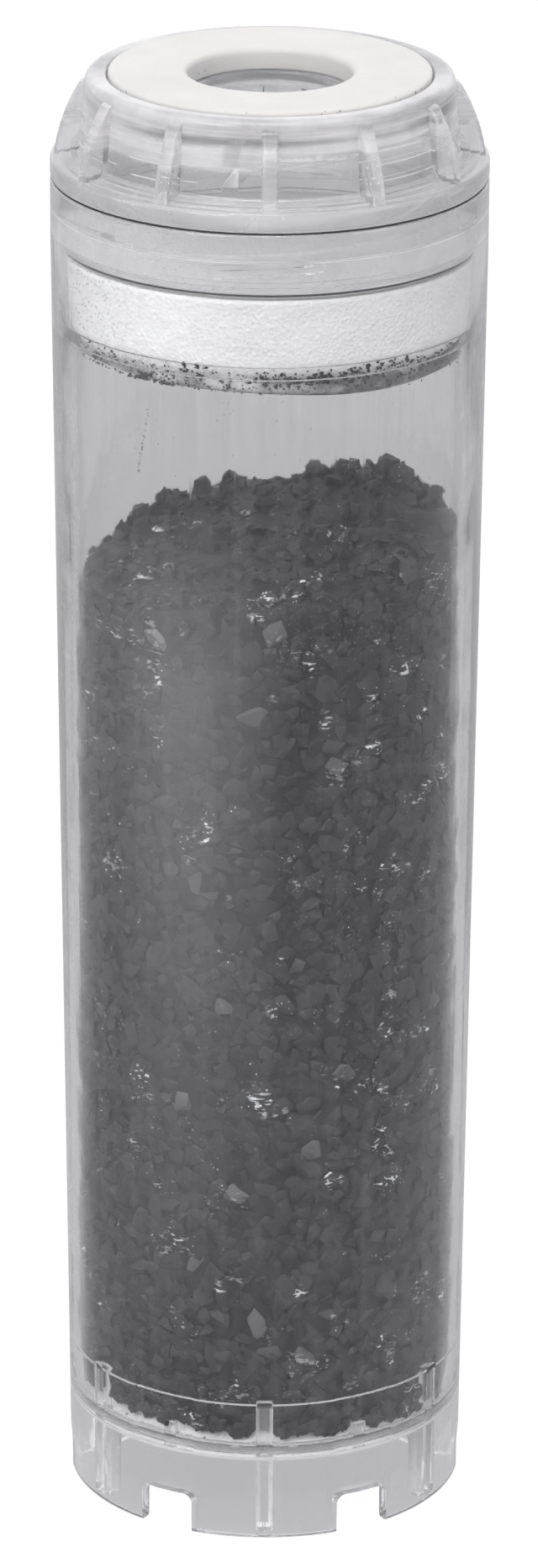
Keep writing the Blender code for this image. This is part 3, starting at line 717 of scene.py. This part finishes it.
class Shader:
    """Short names for building a material's nodes."""

    def __init__(self, name):
        self.mat = bpy.data.materials.new(name)
        self.mat.use_nodes = True
        self.tree = self.mat.node_tree
        self.tree.nodes.clear()
        self.place = self.add("ShaderNodeTexCoord").outputs["Object"]

    def add(self, kind, inputs=None, **settings):
        node = self.tree.nodes.new(kind)
        for key, value in settings.items():
            setattr(node, key, value)
        for key, value in (inputs or {}).items():
            self.put(node.inputs[key], value)
        return node

    def put(self, socket, value):
        if isinstance(value, bpy.types.NodeSocket):
            self.tree.links.new(value, socket)
        else:
            socket.default_value = value

    def stretched(self, x, y, z):
        return self.add("ShaderNodeMapping", {"Vector": self.place, "Scale": (x, y, z)}).outputs[0]

    def noise(self, scale, detail=2.0, place=None):
        return self.add("ShaderNodeTexNoise", {"Vector": place or self.place, "Scale": scale,
                                               "Detail": detail}).outputs["Fac"]

    def cells(self, scale, output="Distance"):
        return self.add("ShaderNodeTexVoronoi", {"Vector": self.place, "Scale": scale}).outputs[output]

    def span(self, value, low, high, start=0.0, end=1.0):
        """Map low..high to start..end, clamped."""
        return self.add("ShaderNodeMapRange", {"Value": value, "From Min": low, "From Max": high,
                                               "To Min": start, "To Max": end}).outputs[0]

    def math(self, operation, one, *others):
        """Apply an operation to one value, or along a row of values."""
        if not others:
            return self.add("ShaderNodeMath", {0: one}, operation=operation).outputs[0]
        for other in others:
            one = self.add("ShaderNodeMath", {0: one, 1: other}, operation=operation).outputs[0]
        return one

    def times(self, *values):
        return self.math("MULTIPLY", *values)

    def plus(self, *values):
        return self.math("ADD", *values)

    def most(self, *values):
        return self.math("MAXIMUM", *values)

    def gap(self, value, mark):
        """Distance of a value from a mark."""
        return self.math("ABSOLUTE", self.math("SUBTRACT", value, mark))

    def axes(self):
        """The place as x, y, z in metres."""
        return self.add("ShaderNodeSeparateXYZ", {0: self.place}).outputs

    def radius(self, x, y):
        """Distance from the axis."""
        return self.math("SQRT", self.plus(self.times(x, x), self.times(y, y)))

    def attribute(self, name):
        return self.add("ShaderNodeAttribute", attribute_name=name).outputs["Fac"]

    def mix(self, share, one, two):
        node = self.add("ShaderNodeMix", data_type="RGBA")
        colors = [socket for socket in node.inputs if socket.type == "RGBA"]
        self.put(node.inputs[0], share)
        self.put(colors[0], one if isinstance(one, bpy.types.NodeSocket) else (*one, 1))
        self.put(colors[1], two if isinstance(two, bpy.types.NodeSocket) else (*two, 1))
        return [socket for socket in node.outputs if socket.type == "RGBA"][0]

    def bump(self, height, strength, distance, normal=None):
        inputs = {"Height": height, "Strength": strength, "Distance": distance}
        if normal:
            inputs["Normal"] = normal
        return self.add("ShaderNodeBump", inputs).outputs[0]

    def surface(self, **inputs):
        names = {key.replace("_", " "): value for key, value in inputs.items()}
        names = {key: (*value, 1) if isinstance(value, tuple) and len(value) == 3 else value
                 for key, value in names.items()}
        return self.add("ShaderNodeBsdfPrincipled", names).outputs[0]

    def blend(self, share, one, two):
        return self.add("ShaderNodeMixShader", {0: share, 1: one, 2: two}).outputs[0]

    def finish(self, shader):
        self.add("ShaderNodeOutputMaterial", {"Surface": shader})
        return self.mat


def tube_marks(s, axes, radius):
    """Where the tube is whitened: painted highlights on the ribs, the fillet and the ledge; a haze on the
    collar, painted lighter towards its sides, and a broken line on it; a painted veil of reflected light on
    the front left of the wall; and wiped streaks on the wall above the carbon.
    """
    x, y, z = axes
    turn = s.math("ARCTAN2", x, s.times(y, -1.0))
    sixth = s.math("MODULO", s.plus(turn, math.radians(390)), math.radians(60))
    across = s.times(s.gap(sixth, math.radians(30)), radius)
    rib = BASE_BORE - 1.3 * MM
    # Painted highlights and painted reflection on the ribs' inner faces and edges, on the fillet under the
    # floor and along the floor's edge on top.
    face = s.times(s.span(radius, rib + 0.4 * MM, rib), s.span(z, FLOOR, FLOOR + 0.4 * MM),
                   s.span(z, BASE_TOP - 0.2 * MM, BASE_TOP - MM), s.span(across, 0.7 * MM, MM, 0.28, 0.60))
    edges = s.times(s.span(radius, rib, rib - 0.4 * MM), s.span(z, 1.2 * MM, 2.2 * MM),
                    s.span(z, SKIRT + 0.4 * MM, SKIRT), s.span(across, 0.55 * MM, 0.70 * MM))
    fillet = s.times(s.span(radius, rib, rib + 0.5 * MM), s.span(z, SKIRT - 0.45 * MM, SKIRT - 0.25 * MM),
                     s.span(z, SKIRT + 0.4 * MM, SKIRT + 0.1 * MM))
    ledge = s.times(s.span(radius, rib - 0.8 * MM, rib), s.span(z, FLOOR - 0.6 * MM, FLOOR - 0.2 * MM),
                    s.span(z, FLOOR + 0.8 * MM, FLOOR + 0.4 * MM), 0.30)
    # Noise that breaks up these painted highlights.
    highlight_breakup = s.span(s.noise(300, 4), 0.25, 0.6, 0.75, 1.0)
    painted_rib_light = s.times(s.most(face, edges, fillet, ledge), highlight_breakup)
    # A painted veil of reflected light over the front left of the wall, along the carbon.
    painted_veil = s.times(s.span(s.gap(x, -14 * MM), 18 * MM, 2 * MM), s.span(y, -18 * MM, -26 * MM),
                     s.span(z, 30 * MM, 150 * MM), s.span(z, 185 * MM, 155 * MM),
                     s.span(s.noise(30, 3), 0.2, 0.7, 0.5, 1.0), 0.11)
    # A haze on the collar, thin in front and painted lighter towards the sides.
    collar = s.times(s.span(z, SHOULDER + 0.1 * MM, SHOULDER + 0.7 * MM),
                     s.span(z, THREAD_MIDDLE + 0.1 * MM, THREAD_MIDDLE - 0.2 * MM, 0.75, 1.3),
                     s.span(s.noise(70, 3), 0.3, 0.7, 0.06, 0.16),
                     s.span(s.gap(x, 0), 8 * MM, 30 * MM, 0.2, 3.0))
    line = s.times(s.span(z, THREAD_MIDDLE - 0.4 * MM, THREAD_MIDDLE - 0.2 * MM),
                   s.span(z, THREAD_MIDDLE + 0.1 * MM, THREAD_MIDDLE - 0.1 * MM),
                   s.span(s.noise(90, 3), 0.35, 0.6, 0.1, 0.5))
    wiped = s.times(s.span(s.noise(700, 3, s.stretched(1, 1, 0.03)), 0.42, 0.75, 0, 0.09),
                    s.span(z, SEAT_FOOT + 0.3 * MM, SEAT_FOOT - 2.2 * MM),
                    s.span(s.plus(z, s.times(y, 0.35)), HEAP_HEIGHT + 9.5 * MM, HEAP_HEIGHT + 16.5 * MM))
    return s.plus(painted_rib_light, collar, line, painted_veil, wiped)


def cap_marks(s, axes, radius):
    """Where the cap is whitened: a painted highlight in bands on its shoulder and plate, milky grips and
    flange, and two broken bright arcs of painted reflection.
    """
    z = axes["Z"]
    # Painted highlight: bands of diffuse white on the shoulder and plate.
    bands = s.span(s.noise(330, 3, s.stretched(0.10, 0.10, 1.6)), 0.38, 0.62, 0.30, 1.0)
    shoulder = s.times(s.span(z, LEDGE + 4.5 * MM, LEDGE + 5.9 * MM, 0, 0.56), bands)
    grips = s.times(s.span(radius, CAP_FOOT_RADIUS + 0.6 * MM, CAP_FOOT_RADIUS + 1.4 * MM),
                    s.span(z, LEDGE + 0.5 * MM, LEDGE + 0.9 * MM), 0.16)
    flange = s.times(s.span(z, LEDGE + 0.7 * MM, LEDGE + 0.3 * MM), 0.20)
    cloud = s.span(s.noise(110, 4), 0.3, 0.65, 0.7, 1.2)
    # Painted reflections of the lamps: two thin, broken bright arcs on the cap's wall.
    upper = s.span(s.gap(z, LEDGE + 5.2 * MM), 0.16 * MM, 0.09 * MM)
    lower = s.span(s.gap(z, LEDGE + 2.5 * MM), 0.14 * MM, 0.08 * MM)
    broken = s.span(s.noise(75, 2, s.stretched(1, 1, 0.3)), 0.50, 0.55)
    wall = s.span(radius, CAP_FOOT_RADIUS + 0.6 * MM, CAP_FOOT_RADIUS + 0.2 * MM)
    arcs = s.times(s.most(upper, lower), wall, broken, 0.75)
    return s.most(s.times(s.most(shoulder, grips, flange), cloud), arcs)


def clear_plastic(name, marks, tint, milky, haze, edge_sheen, dusty, shaded):
    """Clear styrene with moulding waves, hairline scratches and dust. Rays from lamps go through it.

    Milky is the share that is frosted, haze the even share of dust and dusty the strength of its film.
    Edge sheen is the span of facing over which a painted sheen, diffuse white where the plastic is seen
    edge on, comes in, and how much. Shaded is the tint of the light let through.
    """
    s = Shader(name)
    waves = s.noise(55, 2)
    lines = s.noise(420, 3, s.stretched(1, 1, 0.03))
    scratches = s.span(s.noise(900, 2, s.stretched(1, 1, 0.02)), 0.68, 0.72)
    normal = s.bump(waves, 0.25, 0.0009)
    normal = s.bump(lines, 0.10, 0.00012, normal)
    rough = s.plus(s.span(s.noise(160, 4), 0.35, 0.75, 0.015, 0.06), s.times(scratches, 0.12))
    glass = s.surface(Base_Color=tint, Roughness=rough, IOR=1.49, Transmission_Weight=1.0, Normal=normal)
    frosted = s.surface(Base_Color=tint, Roughness=0.2, IOR=1.49, Transmission_Weight=1.0, Normal=normal)
    glass = s.blend(milky, glass, frosted)
    film = s.span(s.noise(380, 5), 0.40, 0.75)
    cloud = s.span(s.noise(26, 4, s.stretched(1, 1, 0.35)), 0.42, 0.72)
    streaks = s.span(s.noise(520, 3, s.stretched(1, 1, 0.012)), 0.50, 0.85)
    specks = s.span(s.cells(1100), 0.20, 0.12)
    thin = s.span(s.noise(60, 3), 0.5, 0.66)
    # Painted sheen: white that grows where the plastic is seen edge on.
    edge = s.add("ShaderNodeLayerWeight", {"Blend": 0.5}).outputs["Facing"]
    axes = s.axes()
    share = s.plus(s.times(film, cloud, dusty), s.times(specks, thin, 2.5 * dusty),
                   s.times(streaks, 0.5 * dusty), s.span(edge, *edge_sheen[:2], 0, edge_sheen[2]),
                   marks(s, axes, s.radius(axes["X"], axes["Y"])), haze)
    # This diffuse white is the dust, together with the painted light of the marks and the edge sheen.
    dust = s.add("ShaderNodeBsdfDiffuse", {"Color": (0.82, 0.81, 0.82, 1)}).outputs[0]
    wall = s.blend(share, glass, dust)
    shadow = s.add("ShaderNodeLightPath").outputs["Is Shadow Ray"]
    through = s.add("ShaderNodeBsdfTransparent", {"Color": (*shaded, 1)}).outputs[0]
    return s.finish(s.blend(shadow, wall, through))


def carbon():
    """Charcoal: matt faces of many greys and fine pits, with painted glints: clusters of bright points
    painted into its colour.
    """
    s = Shader("granular_carbon")
    tone = s.attribute("tone")
    grain = s.noise(1400, 4)
    face = s.noise(350, 3)
    dark = s.mix(tone, (0.006, 0.006, 0.008), (0.040, 0.040, 0.044))
    color = s.mix(s.span(face, 0.35, 0.75, 0, 0.5), dark, (0.024, 0.024, 0.027))
    color = s.mix(s.span(grain, 0.50, 0.75, 0, 0.5), color, (0.085, 0.085, 0.09))
    color = s.mix(s.span(tone, 1, 1.8, 0, 0.95), color, (0.17, 0.17, 0.175))
    # Painted glints: near-white flecks, strokes and dots in the colour, in patches, stronger on grains with
    # a higher glint_paint.
    flakes = s.span(s.noise(800, 2, s.stretched(1, 1, 1.8)), 0.58, 0.63)
    strokes = s.span(s.noise(480, 3, s.stretched(0.5, 0.5, 3.2)), 0.62, 0.65)
    patch = s.span(s.noise(140, 3), 0.59, 0.64)
    dots = s.times(s.span(s.cells(1300), 0.20, 0.12), s.span(s.cells(1300, output="Color"), 0.56, 0.62),
                   s.span(s.noise(140, 3), 0.50, 0.58))
    glint_paint = s.span(s.attribute("glint_paint"), 0.05, 0.4, 0.25, 1.0)
    glints = s.most(s.times(s.most(flakes, strokes), patch, glint_paint), s.times(dots, glint_paint))
    color = s.mix(glints, color, (0.86, 0.87, 0.89))
    rough = s.span(grain, 0.3, 0.7, 0.42, 0.8)
    normal = s.bump(grain, 0.5, 0.0003)
    return s.finish(s.surface(Base_Color=color, Roughness=rough, Normal=normal, Specular_IOR_Level=0.35))


def pad_foam():
    """White open-cell foam: fine pores, carbon dust towards its edges, and painted shade towards +X."""
    s = Shader("pad_foam")
    pores = s.cells(1500)
    fuzz = s.noise(700, 5)
    x, _, z = s.axes()
    low = s.span(z, SEAT_TOP + 0.5 * MM, SEAT_TOP - 3.5 * MM)
    left = s.span(x, -20 * MM, -30 * MM)
    specks = s.span(s.cells(1250), 0.30, 0.16)
    many = s.span(s.noise(240, 3), 0.44, 0.62)
    dust = s.times(specks, s.most(s.times(many, low), s.times(left, 0.85)))
    grime = s.times(s.span(s.noise(150, 4, s.stretched(1, 1, 2)), 0.24, 0.52),
                    s.span(z, SEAT_TOP - 0.9 * MM, SEAT_TOP - 2.9 * MM),
                    s.span(x, -14 * MM, 4 * MM, 0.75, 0.98))
    # Painted shade: the foam darker from left of the middle towards +X.
    shade_right = s.times(s.span(x, -16 * MM, -4 * MM, 0, 0.35), s.span(fuzz, 0.2, 0.6, 0.5, 1.0))
    color = s.mix(s.span(fuzz, 0.3, 0.7), (0.84, 0.84, 0.83), (0.92, 0.92, 0.91))
    color = s.mix(s.span(pores, 0.25, 0.1, 0, 0.25), color, (0.55, 0.55, 0.56))
    color = s.mix(shade_right, color, (0.62, 0.62, 0.63))
    color = s.mix(grime, color, (0.11, 0.11, 0.115))
    color = s.mix(s.times(dust, 0.85), color, (0.10, 0.10, 0.11))
    normal = s.bump(pores, 0.4, 0.0003)
    normal = s.bump(fuzz, 0.3, 0.0003, normal)
    return s.finish(s.surface(Base_Color=color, Roughness=0.92, Normal=normal, Specular_IOR_Level=0.2,
                              Sheen_Weight=0.1))


def pad_felt():
    """White felt of matted fibres, with crumbs of carbon."""
    s = Shader("pad_felt")
    fibres = s.noise(900, 4, s.stretched(1, 0.25, 1.6))
    across = s.noise(900, 4, s.stretched(0.25, 1, 1.6))
    mat = s.math("MAXIMUM", fibres, across)
    crumbs = s.times(s.span(s.cells(700), 0.24, 0.14), s.span(s.noise(180, 2), 0.5, 0.62))
    color = s.mix(s.span(mat, 0.45, 0.7), (0.70, 0.70, 0.69), (0.92, 0.92, 0.91))
    color = s.mix(crumbs, color, (0.08, 0.08, 0.08))
    return s.finish(s.surface(Base_Color=color, Roughness=0.95, Normal=s.bump(mat, 0.6, 0.0004),
                              Specular_IOR_Level=0.2, Sheen_Weight=0.2))


def washer_rubber():
    """Warm white rubber, a little mottled, with dark specks on its rims."""
    s = Shader("washer_rubber")
    x, y, z = s.axes()
    radius = s.radius(x, y)
    outer = s.span(radius, WASHER_RADIUS - 0.7 * MM, WASHER_RADIUS - 0.1 * MM)
    inner = s.times(s.span(radius, WASHER_BORE + 1.2 * MM, WASHER_BORE + 0.3 * MM),
                    s.span(z, WASHER_TOP - 1.8 * MM, WASHER_TOP - 2.8 * MM), s.span(x, -9 * MM, -12 * MM))
    edge = s.most(outer, inner)
    specks = s.times(s.span(s.noise(1500, 2), 0.64, 0.68), s.span(s.noise(160, 3), 0.48, 0.58), edge)
    mottle = s.noise(90, 5)
    color = s.mix(s.span(mottle, 0.3, 0.7), (0.665, 0.655, 0.64), (0.715, 0.705, 0.69))
    color = s.mix(specks, color, (0.12, 0.11, 0.10))
    grain = s.noise(1100, 3)
    return s.finish(s.surface(Base_Color=color, Roughness=s.span(grain, 0.3, 0.7, 0.45, 0.62),
                              Normal=s.bump(grain, 0.25, 0.0002), Specular_IOR_Level=0.35,
                              Subsurface_Weight=0.08, Subsurface_Scale=0.002))


def seal_rubber(name):
    """Black rubber with a faint bloom."""
    s = Shader(name)
    bloom = s.noise(500, 4)
    color = s.mix(s.span(bloom, 0.4, 0.75), (0.010, 0.010, 0.012), (0.030, 0.030, 0.034))
    return s.finish(s.surface(Base_Color=color, Roughness=s.span(bloom, 0.3, 0.7, 0.35, 0.55),
                              Normal=s.bump(bloom, 0.2, 0.0002)))


def dress(obj, mat, body, replaced=None):
    obj.data.materials.clear()
    obj.data.materials.append(mat)
    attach(obj, body)
    if replaced:
        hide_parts(replaced)
    return obj


# Stage

def looking(place, target):
    """The placing of a camera or lamp that looks at a target."""
    place = Vector(place)
    look = (Vector(target) - place).to_track_quat("-Z", "Y")
    return Matrix.Translation(place) @ look.to_matrix().to_4x4()


def make_camera():
    """The photograph's viewpoint."""
    data = bpy.data.cameras.new("camera")
    data.lens = CAMERA_LENS
    camera = bpy.data.objects.new("camera", data)
    camera.matrix_world = (looking(CAMERA_PLACE, CAMERA_TARGET)
                           @ Matrix.Rotation(math.radians(CAMERA_ROLL), 4, "Z"))
    bpy.context.scene.collection.objects.link(camera)
    bpy.context.scene.camera = camera


def make_floor():
    """A plain floor, the same all over: near white to the camera, and pale grey in the clear plastic."""
    bm = bmesh.new()
    bmesh.ops.create_grid(bm, x_segments=1, y_segments=1, size=6)
    floor = new_object("floor", bm)
    floor.location.z = -0.02 * MM
    s = Shader("pale_floor")
    path = s.add("ShaderNodeLightPath").outputs
    mirrored, bounced, seen = (0.44, 0.44, 0.453), (0.34, 0.34, 0.345), (0.95, 0.95, 0.95)
    tone = s.mix(s.span(path["Diffuse Depth"], 0, 1), mirrored, bounced)
    tone = s.mix(path["Is Camera Ray"], tone, seen)
    light = s.add("ShaderNodeEmission", {"Color": tone, "Strength": 1.0}).outputs[0]
    matt = s.add("ShaderNodeBsdfDiffuse", {"Color": (0.07, 0.07, 0.07, 1)}).outputs[0]
    floor.data.materials.append(s.finish(s.add("ShaderNodeAddShader", {0: light, 1: matt}).outputs[0]))


def area_light(name, place, target, size, power):
    data = bpy.data.lights.new(name, "AREA")
    data.shape = "RECTANGLE"
    data.size, data.size_y = size
    data.energy = power
    light = bpy.data.objects.new(name, data)
    light.matrix_world = looking(place, target)
    bpy.context.scene.collection.objects.link(light)
    return light


def make_stage():
    make_camera()
    make_floor()
    area_light("key", (-0.9, -1.3, 1.3), (0, 0, 0.12), (0.7, 0.9), 12)
    area_light("fill", (1.3, -0.8, 0.9), (0, 0, 0.12), (0.7, 0.9), 4)
    back = area_light("back", (0.4, 1.3, 1.0), (0, 0, 0.15), (0.7, 0.5), 5)
    back.visible_camera = back.visible_transmission = back.visible_glossy = False
    area_light("top", (-0.12, -0.42, 1.5), (0, 0, 0.2), (0.6, 0.3), 5)
    world = bpy.data.worlds.new("studio")
    world.use_nodes = True
    nodes = world.node_tree.nodes
    bounced = nodes.new("ShaderNodeLightPath").outputs["Diffuse Depth"]
    sky = nodes.new("ShaderNodeMapRange")
    sky.inputs["To Min"].default_value, sky.inputs["To Max"].default_value = 1.0, 0.66
    world.node_tree.links.new(bounced, sky.inputs["Value"])
    world.node_tree.links.new(sky.outputs[0], nodes["Background"].inputs["Strength"])
    nodes["Background"].inputs["Color"].default_value = (0.98, 0.98, 1.0, 1)
    scene = bpy.context.scene
    scene.world = world
    scene.view_settings.view_transform = "Standard"
    scene.cycles.use_denoising = True
    scene.cycles.max_bounces = 48
    scene.cycles.transmission_bounces = 48
    scene.cycles.glossy_bounces = 32
    scene.cycles.diffuse_bounces = 3
    scene.cycles.transparent_max_bounces = 24
    scene.cycles.sample_clamp_indirect = 4
    scene.cycles.blur_glossy = 0.3


def main():
    make_stage()
    tube_plastic = clear_plastic("tube_plastic", tube_marks, tint=(0.985, 0.985, 0.994), milky=0.02,
                                 haze=0.002, edge_sheen=(0.65, 0.74, 0.25), dusty=0.07,
                                 shaded=(0.90, 0.90, 0.92))
    cap_plastic = clear_plastic("cap_plastic", cap_marks, tint=(0.975, 0.977, 0.99), milky=0.10,
                                haze=0.05, edge_sheen=(0.62, 0.95, 0.40), dusty=0.06,
                                shaded=(0.64, 0.64, 0.66))
    dress(make_tube(), tube_plastic, "tube", "body")
    dress(make_cap(), cap_plastic, "cap", "screw_cap")
    dress(make_washer(), washer_rubber(), "cap", "top_washer")
    dress(make_seal(), seal_rubber("seal_rubber"), "seal", "seal_ring")
    dress(make_shade_ring(), seal_rubber("shade_ring_rubber"), "seal")
    foam = dress(make_foam(), pad_foam(), "tube", "foam_pad")
    felt = dress(make_felt(), pad_felt(), "tube", "felt_pad")
    black = carbon()
    dress(make_core(), black, "tube", "carbon_bed")
    rng = random.Random(5)
    for index in range(3):
        spots = wall_spots(rng, index / 3, (index + 1) / 3 + (index == 2))
        dress(make_grains(f"grains_{index + 1}", spots, 20 + index, wall_limit), black, "tube")
    dress(make_grains("grains_top", top_spots(rng), 31), black, "tube")
    dress(make_grains("grains_fringe", fringe_spots(rng), 32, wall_limit), black, "tube")
    dress(make_grains("pad_dust", dust_spots(rng), 33, pad_limit), black, "tube")


main()
